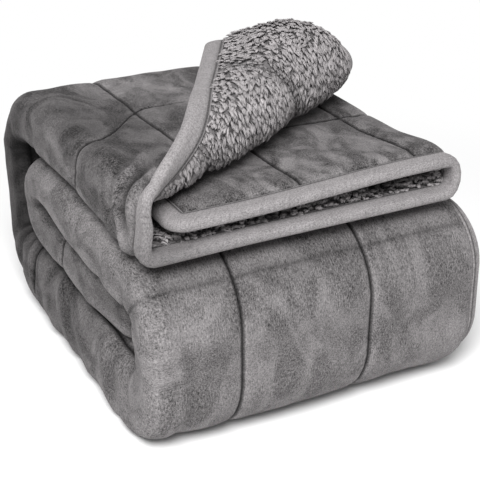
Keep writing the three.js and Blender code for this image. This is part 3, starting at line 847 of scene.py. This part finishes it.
def binding_finish(look):
    """A light tape with a short nap and faint ribs across it, with painted shade in the stitches' groove and
    at listed places.
    """
    f = Finish("edge_tape")
    at = f.uv("tape")
    nap_and_painted_light = f.noise(f.stretched(at, (420.0, 560.0, 1.0)), 1.0, 3.0, 0.75)
    ribs = f.noise(f.stretched(at, (300.0, 60.0, 1.0), 14), 1.0, 2.0, 0.6, 0.6)
    cast = f.noise(f.stretched(at, (30.0, 90.0, 1.0)), 1.0, 2.0, 0.5, 0.8)
    fine = f.noise(at, 950.0, 1.0)
    level = 0.80 + cast * 0.40 + (nap_and_painted_light - 0.5) * 2.2 + (ribs - 0.5) * 0.6 + (fine - 0.5) * 0.9
    # painted shade in the stitches' groove and at the listed places
    shade = (1 - f.stored("groove") * 0.86) * f.stored("nap_and_painted_light")
    colour = f.times(warm(look.binding_level), level.clamped(0.2, 3.0) * shade)
    return f.close(
        colour, 0.85, nap_and_painted_light * 0.7 + ribs * 0.5 + fine * 0.3, 0.0012,
        Sheen_Weight=0.18, Sheen_Roughness=0.4, Sheen_Tint=warm(0.7), Specular_IOR_Level=0.10,
    )


def thread_finish(look):
    """Sewing thread with its twist."""
    f = Finish("sewing_thread")
    twist = f.noise(f.node("ShaderNodeTexCoord", {}, {})["Object"], 2600.0, 1.0)
    colour = f.times(warm(look.thread_level), 0.75 + twist * 0.5)
    return f.close(colour, 0.6, twist, 0.0002, Specular_IOR_Level=0.3)


class ThrowSizes(bpy.types.PropertyGroup):
    face_step: bpy.props.FloatProperty(
        name="Flannel step", description="Spacing of the flannel's grid lines where it shows, in mm",
        default=5.5, min=2.0, max=12.0)
    lock_spacing: bpy.props.FloatProperty(
        name="Lock spacing", description="Way from one lock of pile to the next, in mm",
        default=4.85, min=3.0, max=12.0)
    lock_length: bpy.props.FloatProperty(
        name="Pile length", description="Length of a strand of the pile, in mm",
        default=13.0, min=5.0, max=25.0)
    strands: bpy.props.IntProperty(
        name="Strands in a lock", description="How many strands a lock of pile has",
        default=12, min=4, max=20)
    stitch: bpy.props.FloatProperty(
        name="Stitch length", description="Length of one stitch of the binding, in mm",
        default=3.8, min=1.5, max=8.0)


class ThrowLook(bpy.types.PropertyGroup):
    flannel_level: bpy.props.FloatProperty(
        name="Flannel grey", description="Lightness of the flannel", default=0.115, min=0.0, max=1.0,
        subtype="FACTOR")
    pile_level: bpy.props.FloatProperty(
        name="Pile grey", description="Lightness of the sherpa pile", default=0.305, min=0.0, max=1.0,
        subtype="FACTOR")
    binding_level: bpy.props.FloatProperty(
        name="Binding grey", description="Lightness of the edge binding", default=0.215, min=0.0, max=1.0,
        subtype="FACTOR")
    thread_level: bpy.props.FloatProperty(
        name="Thread grey", description="Lightness of the sewing thread", default=0.09, min=0.0, max=1.0,
        subtype="FACTOR")


def finish_piece(piece, material):
    """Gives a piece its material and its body."""
    piece.data.materials.clear()
    piece.data.materials.append(material)
    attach(piece, BODY)


# The roll's pile is brushed round this level axis, and hangs a little; the mouth's lies to the front
BRUSH_AXIS = np.array((0.886, -0.463, 0.0))
BRUSH_HANG, BRUSH_ASIDE = 0.35, -0.14
MOUTH_LIE = np.array((-0.15, -1.0, -0.35))
# Pile shows where the roll has turned this far, and in the mouth this deep and this far round its folds
PILE_TURN = math.radians(28)
MOUTH_PILE_DEPTH, MOUTH_PAST_LEFT, MOUTH_PAST_RIGHT = 105.0, 30.0, 20.0
# The width where the roll's locks are split in two pieces, and how far locks go in under the tape
LOCKS_SPLIT, UNDER_TAPE = 1085.0, 1.0
# Rows of locks against their spacing, their jitter, and the mouth's wider spacing
ROW_SPACING, JITTER, MOUTH_SPACING = 1.15, 0.45, 1.3


def lay_of(away, mouth):
    """The way pile lies on its ground."""
    brushed = MOUTH_LIE if mouth else np.cross(BRUSH_AXIS, away) + BRUSH_ASIDE * BRUSH_AXIS
    brushed = brushed - (0.0, 0.0, 0.0 if mouth else BRUSH_HANG)
    return unit_rows(brushed - away * dot_rows(away, brushed))


class THROW_OT_flannel(bpy.types.Operator):
    """Folds the flannel side of the throw"""

    bl_idname = "throw.flannel"
    bl_label = "Flannel side"

    def execute(self, context):
        fine = context.scene.throw_sizes.face_step
        face = cloth_grid(
            "flannel_face", face_height, thickness=3.0, margin_share=0.7,
            steps_across=(fine * 1.3, 4.5, 18.0, 3.2, 4.2, 3.2, fine),
            steps_along=(fine, 5.2, 5.4, 5.8, 14.0, 5.2, 5.2, 5.0, 18.0, 10.0, 18.0))
        finish_piece(face, flannel_finish(context.scene.throw_look))
        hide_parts("face_panel")
        return {"FINISHED"}


class THROW_OT_ground(bpy.types.Operator):
    """Folds the knitted ground of the sherpa side"""

    bl_idname = "throw.ground"
    bl_label = "Sherpa ground"

    def execute(self, context):
        ground = cloth_grid(
            "sherpa_ground", ground_height, thickness=8.0, margin_share=0.28, faces_down=True,
            steps_across=(9.0, 5.0, 18.0, 4.0, 6.0, 4.0, 9.0),
            steps_along=(9.0, 9.0, 12.0, 9.0, 18.0, 8.0, 10.0, 8.0, 18.0, 9.0, 18.0))
        finish_piece(ground, ground_finish(context.scene.throw_look))
        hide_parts("back_panel")
        return {"FINISHED"}


def scattered(chance, spacing, end):
    """Jittered places over the cloth from its front edge to a given length."""
    columns, rows = np.arange(0, CLOTH_WIDTH, spacing), np.arange(0, end, spacing * ROW_SPACING)
    width, length = np.meshgrid(columns, rows)
    width[1::2] += spacing / 2
    width = (width + chance.uniform(-JITTER, JITTER, width.shape) * spacing).ravel()
    length = (length + chance.uniform(-JITTER, JITTER, length.shape) * spacing).ravel()
    keep = past_tape(width, length) > -UNDER_TAPE
    return width[keep], length[keep]


def turned_up(width, length):
    """Whether the roll shows the cloth's other side here."""
    in_top, turn, *_ = roll_at(width, length)
    return in_top & (turn > PILE_TURN)


def lock_roots(spacing):
    """Places for the locks wherever the pile shows: two groups on the roll and two in the mouth."""
    chance = np.random.default_rng(21)
    width, length = scattered(chance, spacing, TOP_SECTION_RUN)
    turned, right = turned_up(width, length), width >= LOCKS_SPLIT
    roots = [(width[g], length[g], False) for g in (turned & ~right, turned & right)]
    width, length = scattered(chance, spacing * MOUTH_SPACING, MOUTH_PILE_DEPTH)
    in_mouth = (width < LEFT_FOLD_START + MOUTH_PAST_LEFT) & ~turned_up(width, length)
    upper = width < RIGHT_FOLD_START + MOUTH_PAST_RIGHT
    return roots + [(width[g], length[g], True) for g in (in_mouth & upper, in_mouth & ~upper)]


# Pile of the roll and of the mouth. Sway: how far locks turn aside together, and each on its own.
# Rises: a lock's middle and tip over its reach, lowest and highest. Strands, in mm: how many to each
# of the lock's own, thickness, spread at the root and at the tip, and length against the lock's own
ROLL_PILE = dict(
    sway=(0.26, 0.2), rises=((0.34, 0.52), (0.04, 0.24)),
    strands=((0.17, 1.45, 0.9, 0.5, 0.88), (0.83, 0.68, 1.7, 0.9, 1.06)))
MOUTH_PILE = dict(
    sway=(0.5, 0.5), rises=((0.9, 1.25), (0.15, 0.45)),
    strands=((0.25, 1.9, 1.3, 0.9, 0.95), (0.5, 0.8, 2.0, 1.4, 1.05)))
# Where a strand is cut across, and its thickness at its root, at the cuts and at its tip
STRAND_CUTS, STRAND_SHAPE = (0.42, 0.78), (0.8, 1.15, 0.85, 0.0)
# How deep it is rooted, its bend and its tip as shares of its reach, and the root's spread in its tip
ROOT_DEPTH, BEND_AT, TIP_AT, SPREAD_KEPT = 1.5, 0.28, 0.86, 0.3
# The lowest and highest a lock's reach, a strand's length and its thickness come out
REACH_RANGE, LENGTH_RANGE, THICKNESS_RANGE = (0.82, 1.2), (0.82, 1.15), (0.78, 1.22)
# Pile is short with painted shade by a seam, and short by the tape; the mouth's is short, with painted light
# at its front and painted shade further inside
SEAM_REACH, SEAM_SHORTENS, SEAM_PAINTED_SHADE = 10.0, 0.68, 0.55
BY_TAPE, FROM_TAPE = 0.66, 0.34
MOUTH_SHORTENS, MOUTH_PAINTED_LIGHT, MOUTH_PAINTED_SHADE, SHADE_FROM, SHADE_OVER = 0.84, 1.24, 0.76, 18.0, 70.0
LOCK_TONE_SPREAD, STRAND_TONE_SPREAD, TONE_RANGE = 0.08, 0.05, (0.15, 1.5)


def bowed(start, control, end, t):
    """A curve from start to end for each copy, drawn towards its control point."""
    return start[:, None] * (1 - t) ** 2 + control[:, None] * 2 * t * (1 - t) + end[:, None] * t**2


def ringed(spine, radius, across, upright, unit):
    """The points of each copy's rings round its spine."""
    return spine + radius * (across * unit[None, :, :1] + upright * unit[None, :, 1:])


def grow_locks(name, width, length, sizes, seed, mouth):
    """Strands of pile in pointed locks, each rooted in the ground and curling over."""
    chance, count = np.random.default_rng(seed), len(width)
    pile = MOUTH_PILE if mouth else ROLL_PILE
    root = settled(width, length, ground_height(width, length))
    away = unit_rows(settled(width, length, ground_height(width, length) - 1.0) - root)
    lie = lay_of(away, mouth)
    together, own = pile["sway"]
    sway = together * swells(width, length, seed + 1, 80, 30)
    sway += chance.normal(0, own, count)
    lie = unit_rows(lie * np.cos(sway)[:, None] + np.cross(away, lie) * np.sin(sway)[:, None])
    aside = np.cross(away, lie)

    by_seam = np.exp(-np.min(seam_distances(width, length), axis=0) / SEAM_REACH)
    fullness = BY_TAPE + FROM_TAPE * smooth(past_tape(width, length) / LOFT_REACH)
    fullness = (1 - SEAM_SHORTENS * by_seam) * fullness
    reach = sizes.lock_length * MM * fullness * chance.uniform(*REACH_RANGE, count)
    rise, tip_rise = (reach * chance.uniform(*span, count) for span in ROLL_PILE["rises"])
    if mouth:
        # shorter locks that stand up further, with rises of their own
        reach *= MOUTH_SHORTENS
        rise, tip_rise = (reach * chance.uniform(*span, count) for span in MOUTH_PILE["rises"])
    # A lock's own tone, with painted shade by a seam, and in the mouth painted light at its front and
    # painted shade further in
    tone_and_painted_light = chance.normal(1.0, LOCK_TONE_SPREAD, count) - SEAM_PAINTED_SHADE * by_seam
    if mouth:
        tone_and_painted_light *= MOUTH_PAINTED_LIGHT - MOUTH_PAINTED_SHADE * smooth((length - SHADE_FROM) / SHADE_OVER)

    unit, height, faces = small_shape(STRAND_CUTS, 3, True)
    t = height[None, :, None]
    parts, tips, tones_and_painted_light = [], [], []
    for share, thick, spread, tip_spread, longer in pile["strands"]:
        pick = np.repeat(np.arange(count), max(1, round(share * sizes.strands)))
        total = len(pick)
        a, l, s, start = away[pick], lie[pick], aside[pick], root[pick]
        off = chance.normal(0, spread * MM, (2, total, 1))
        tip_off = chance.normal(0, tip_spread * MM, (2, total, 1))
        scale = longer * chance.uniform(*LENGTH_RANGE, (total, 1))
        far, up, tip_up = (size[pick, None] * scale for size in (reach, rise, tip_rise))
        base = start + l * off[0] + s * off[1] - a * (ROOT_DEPTH * MM)
        middle = base + a * up + l * BEND_AT * far
        end = start + l * (TIP_AT * far + off[0] * SPREAD_KEPT + tip_off[0])
        end = end + s * (off[1] * SPREAD_KEPT + tip_off[1]) + a * tip_up
        ahead = unit_rows((middle - base)[:, None] * (1 - t) + (end - middle)[:, None] * t)
        across = unit_rows(s[:, None] - ahead * dot_rows(s[:, None], ahead))
        wide = thick * MM * chance.uniform(*THICKNESS_RANGE, (total, 1))
        wide = wide * np.interp(height, (0, *STRAND_CUTS, 1), STRAND_SHAPE)[None, :]
        spine = bowed(base, middle, end, t)
        parts.append(ringed(spine, wide[..., None], across, np.cross(across, ahead), unit))
        tips.append(np.tile(height, total))
        tones_and_painted_light.append(np.repeat(tone_and_painted_light[pick] + chance.normal(0, STRAND_TONE_SPREAD, total), len(height)))

    piece = joined_copies(name, np.concatenate(parts), faces)
    float_attribute(piece, "tip", np.concatenate(tips))
    float_attribute(piece, "tone_and_painted_light", np.clip(np.concatenate(tones_and_painted_light), *TONE_RANGE))
    return piece


class THROW_OT_pile(bpy.types.Operator):
    """Grows the sherpa pile where it shows"""

    bl_idname = "throw.pile"
    bl_label = "Sherpa pile"

    def execute(self, context):
        sizes = context.scene.throw_sizes
        material = pile_finish(context.scene.throw_look)
        for number, (width, length, mouth) in enumerate(lock_roots(sizes.lock_spacing), 1):
            piece = grow_locks(f"sherpa_locks_{number}", width, length, sizes, 30 + number, mouth)
            finish_piece(piece, material)
        return {"FINISHED"}


# The tape's section round the edge: inward from the edge, and through the cloth
TAPE_HALF = (
    (25.0, 3.4), (25.3, 4.6), (24.9, 5.9), (23.9, 6.3), (22.9, 5.7), (22.3, 4.9), (21.7, 5.6), (20.6, 6.4),
    (17.0, 6.9), (12.0, 7.0), (7.0, 6.7), (3.4, 6.0), (1.3, 4.6), (0.3, 2.6),
)
TAPE_INNER = ((2.4, -3.4), (2.4, 3.4))
TAPE_STEP = 5.6
# The stitches' row, the painted shade of the groove it leaves on the tape's two faces, and the pitch against
# a stitch
STITCH_ROW, STITCH_SHADE_WIDTH, SHADE_ABOVE, STITCH_PITCH = 22.3, 1.5, 4.0, 1.25
STITCH_FOOT, STITCH_TOP, THREAD_WIDTH = 4.75, 5.5, 0.9
STITCH_CUTS, STITCH_SHAPE = (0.25, 0.75), (0.5, 1, 1, 0.5)
# The cloth's sides in their order round it
SIDES = (("front", CLOTH_WIDTH), ("right", CLOTH_LENGTH), ("back", CLOTH_WIDTH), ("left", CLOTH_LENGTH))


def tape_section():
    """The tape's closed section: round the outside from one rolled edge to the other, then inside."""
    outer = list(TAPE_HALF) + [(0.0, 0.0)] + [(inward, -offset) for inward, offset in reversed(TAPE_HALF)]
    return np.array(outer + list(TAPE_INNER))


def edge_places(side, end, share, inward):
    """Widths and lengths at shares of the way along a side, at a distance in from the edge."""
    first = np.minimum(inward, BINDING_WIDTH)
    at = first + (end - 2 * first) * share
    if side == "front":
        return at, inward + 0 * at
    if side == "right":
        return CLOTH_WIDTH - inward + 0 * at, at
    if side == "back":
        return CLOTH_WIDTH - at, CLOTH_LENGTH - inward + 0 * at
    return inward + 0 * at, CLOTH_LENGTH - at


class THROW_OT_binding(bpy.types.Operator):
    """Binds the throw's edge with a folded tape"""

    bl_idname = "throw.binding"
    bl_label = "Edge binding"

    def execute(self, context):
        section = tape_section()
        size = len(section)
        places, way, start = [], [], 0.0
        for side, end in SIDES:
            count = round((end - 2 * BINDING_WIDTH) / TAPE_STEP)
            for part in np.linspace(0, 1, count, endpoint=False):
                width, length = edge_places(side, end, part, section[:, 0])
                places.append(np.stack([width, length, section[:, 1]], -1))
                way.append(start + part * end)
            start += end
        rings, places = len(places), np.array(places)
        width, length, offset = places.reshape(-1, 3).T
        width, length = rounded(width, length)
        points = settled(width, length, offset).reshape(rings, size, 3)
        deselect_all()
        bpy.ops.mesh.primitive_grid_add(x_subdivisions=size, y_subdivisions=rings, size=1)
        tape = context.object
        tape.name = tape.data.name = "binding_tape"
        column, row = grid_places(tape, size + 1, rings + 1)
        tape.data.vertices.foreach_set("co", points[row % rings, column % size].ravel())
        girth = np.cumsum([0.0, *np.linalg.norm(np.diff([*section, section[0]], axis=0), axis=1)])
        own_uv(tape, "tape", np.array([*way, start])[row] * MM, girth[column] * MM)
        inward, offset = section[column % size].T
        # painted shade in the stitches' groove on the tape's two faces
        stitch_groove_shade = np.exp(-(((inward - STITCH_ROW) / STITCH_SHADE_WIDTH) ** 2)) * (np.abs(offset) > SHADE_ABOVE)
        float_attribute(tape, "groove", stitch_groove_shade)
        at = places[row % rings, column % size]
        # painted shade on the tape at the listed places
        float_attribute(tape, "nap_and_painted_light", 1 + soft_strips(at[:, 0], at[:, 1], TAPE_PAINTED_SHADE, 0.0))
        # the two ends of the tape and of its section meet
        edit_whole(bpy.ops.mesh.remove_doubles, {"threshold": 1e-6})
        smooth_shaded(tape)
        finish_piece(tape, binding_finish(context.scene.throw_look))
        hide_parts("edge_binding")
        return {"FINISHED"}


class THROW_OT_stitches(bpy.types.Operator):
    """Sews the binding down with a row of stitches on each side"""

    bl_idname = "throw.stitches"
    bl_label = "Binding stitches"

    def execute(self, context):
        stitch = context.scene.throw_sizes.stitch
        rows = []
        for side, end in SIDES:
            run = end - 2 * STITCH_ROW
            count = round(run / (stitch * STITCH_PITCH))
            middle, half = (np.arange(count) + 0.5) / count, 0.5 * stitch / run
            rows.append([edge_places(side, end, middle + shift, STITCH_ROW) for shift in (-half, 0, half)])
        first, between, last = (rounded(*np.concatenate(places, axis=1)) for places in zip(*rows))
        unit, height, faces = small_shape(STITCH_CUTS, 4, False)
        t = height[None, :, None]
        radius = THREAD_WIDTH * MM / 2 * np.interp(height, (0, *STITCH_CUTS, 1), STITCH_SHAPE)[None, :, None]
        parts = []
        for side_of in (1, -1):
            low, high = STITCH_FOOT * side_of, STITCH_TOP * side_of
            a, m, b = settled(*first, low), settled(*between, high), settled(*last, low)
            ahead, outward = unit_rows(b - a)[:, None], unit_rows(m - 0.5 * (a + b))[:, None]
            spine = bowed(a, 2 * m - 0.5 * (a + b), b, t)
            parts.append(ringed(spine, radius, np.cross(ahead, outward), outward, unit))
        piece = joined_copies("binding_stitches", np.concatenate(parts), faces)
        finish_piece(piece, thread_finish(context.scene.throw_look))
        return {"FINISHED"}


class THROW_OT_declare(bpy.types.Operator):
    """Does nothing: no piece is declared here"""

    bl_idname = "throw.declare"
    bl_label = "Declare the cloth"

    def execute(self, context):
        return {"FINISHED"}


CAMERA_TURN, CAMERA_RISE = math.radians(-27.575), math.radians(25.41)
TARGET = (0.023274, 0.0, 0.123611)
CAMERA_DISTANCE, CAMERA_LENS, CAMERA_SENSOR = 1.491665, 87.99, 36.0
KEY_TURN, KEY_RISE = math.radians(-32), math.radians(45)
KEY_DISTANCE, KEY_SIZE, KEY_POWER = 2.4, 1.1, 80.0
WORLD_LIGHT = 0.5
# The floor's grey under the throw, and where it turns to plain white round it
FLOOR_RADIUS, FLOOR_GREY, WHITE_FROM, WHITE_TO = 6.0, 0.90, 0.35, 0.95


def place_round(thing, turn, rise, distance):
    """Puts a lamp or the camera at a turn, a rise and a distance from the target, looking at it."""
    bpy.context.scene.collection.objects.link(thing)
    thing.location = (
        TARGET[0] + distance * math.sin(turn) * math.cos(rise),
        TARGET[1] - distance * math.cos(turn) * math.cos(rise),
        TARGET[2] + distance * math.sin(rise),
    )
    x, y, z = np.array(TARGET) - np.array(thing.location)
    thing.rotation_euler = (math.atan2(math.hypot(x, y), -z), 0.0, math.atan2(y, x) - math.pi / 2)


def floor_finish():
    """A matt grey under the throw that turns to plain white further out."""
    f = Finish("pale_floor")
    at = f.node("ShaderNodeTexCoord", {}, {})["Object"]
    away = f.node("ShaderNodeVectorMath", {"operation": "LENGTH"}, {0: at})["Value"]
    share = {0: away, 1: WHITE_FROM, 2: WHITE_TO}
    far = f.node("ShaderNodeMapRange", {"interpolation_type": "SMOOTHSTEP"}, share)["Result"]
    grey = (FLOOR_GREY, FLOOR_GREY, FLOOR_GREY, 1)
    matt = f.node("ShaderNodeBsdfDiffuse", {}, {"Color": grey})["BSDF"]
    glow = f.node("ShaderNodeEmission", {}, {"Color": (1, 1, 1, 1), "Strength": 1.0})["Emission"]
    both = f.node("ShaderNodeMixShader", {}, {0: far, 1: matt, 2: glow})["Shader"]
    f.node("ShaderNodeOutputMaterial", {}, {"Surface": both})
    return f.material


class THROW_OT_stage(bpy.types.Operator):
    """Sets the floor, the light and the camera"""

    bl_idname = "throw.stage"
    bl_label = "Stage"

    def execute(self, context):
        scene = context.scene
        deselect_all()
        bpy.ops.mesh.primitive_circle_add(vertices=96, radius=FLOOR_RADIUS, fill_type="NGON")
        floor = context.object
        floor.name = "floor"
        floor.data.materials.append(floor_finish())

        world = bpy.data.worlds.new("studio")
        world.use_nodes = True
        background = world.node_tree.nodes["Background"].inputs
        background["Color"].default_value = (1, 1, 1, 1)
        background["Strength"].default_value = WORLD_LIGHT
        scene.world = world

        light = bpy.data.lights.new("key", "AREA")
        light.shape, light.size, light.energy = "DISK", KEY_SIZE, KEY_POWER
        place_round(bpy.data.objects.new("key", light), KEY_TURN, KEY_RISE, KEY_DISTANCE)

        lens = bpy.data.cameras.new("camera")
        lens.lens, lens.sensor_width = CAMERA_LENS, CAMERA_SENSOR
        camera = bpy.data.objects.new("camera", lens)
        place_round(camera, CAMERA_TURN, CAMERA_RISE, CAMERA_DISTANCE)
        scene.camera = camera
        scene.view_settings.view_transform = "Standard"
        return {"FINISHED"}


class THROW_PT_panel(bpy.types.Panel):
    """Lists the throw's pieces, sizes and colours"""

    bl_idname = "THROW_PT_panel"
    bl_label = "Folded fleece throw"
    bl_space_type = "VIEW_3D"
    bl_region_type = "UI"
    bl_category = "Throw"

    def draw(self, context):
        for group in (context.scene.throw_sizes, context.scene.throw_look):
            box = self.layout.box()
            for name in group.__annotations__:
                box.prop(group, name)
        for operator in OPERATORS:
            self.layout.operator(operator.bl_idname)


OPERATORS = (
    THROW_OT_stage, THROW_OT_flannel, THROW_OT_ground, THROW_OT_pile, THROW_OT_binding, THROW_OT_stitches,
    THROW_OT_declare,
)
GROUPS = (ThrowSizes, ThrowLook)


def register():
    for cls in (*GROUPS, *OPERATORS, THROW_PT_panel):
        bpy.utils.register_class(cls)
    bpy.types.Scene.throw_sizes = bpy.props.PointerProperty(type=ThrowSizes)
    bpy.types.Scene.throw_look = bpy.props.PointerProperty(type=ThrowLook)


def unregister():
    del bpy.types.Scene.throw_look
    del bpy.types.Scene.throw_sizes
    for cls in reversed((*GROUPS, *OPERATORS, THROW_PT_panel)):
        bpy.utils.unregister_class(cls)


def main():
    register()
    for operator in OPERATORS:
        group, name = operator.bl_idname.split(".")
        getattr(getattr(bpy.ops, group), name)()


if __name__ == "__main__":
    main()
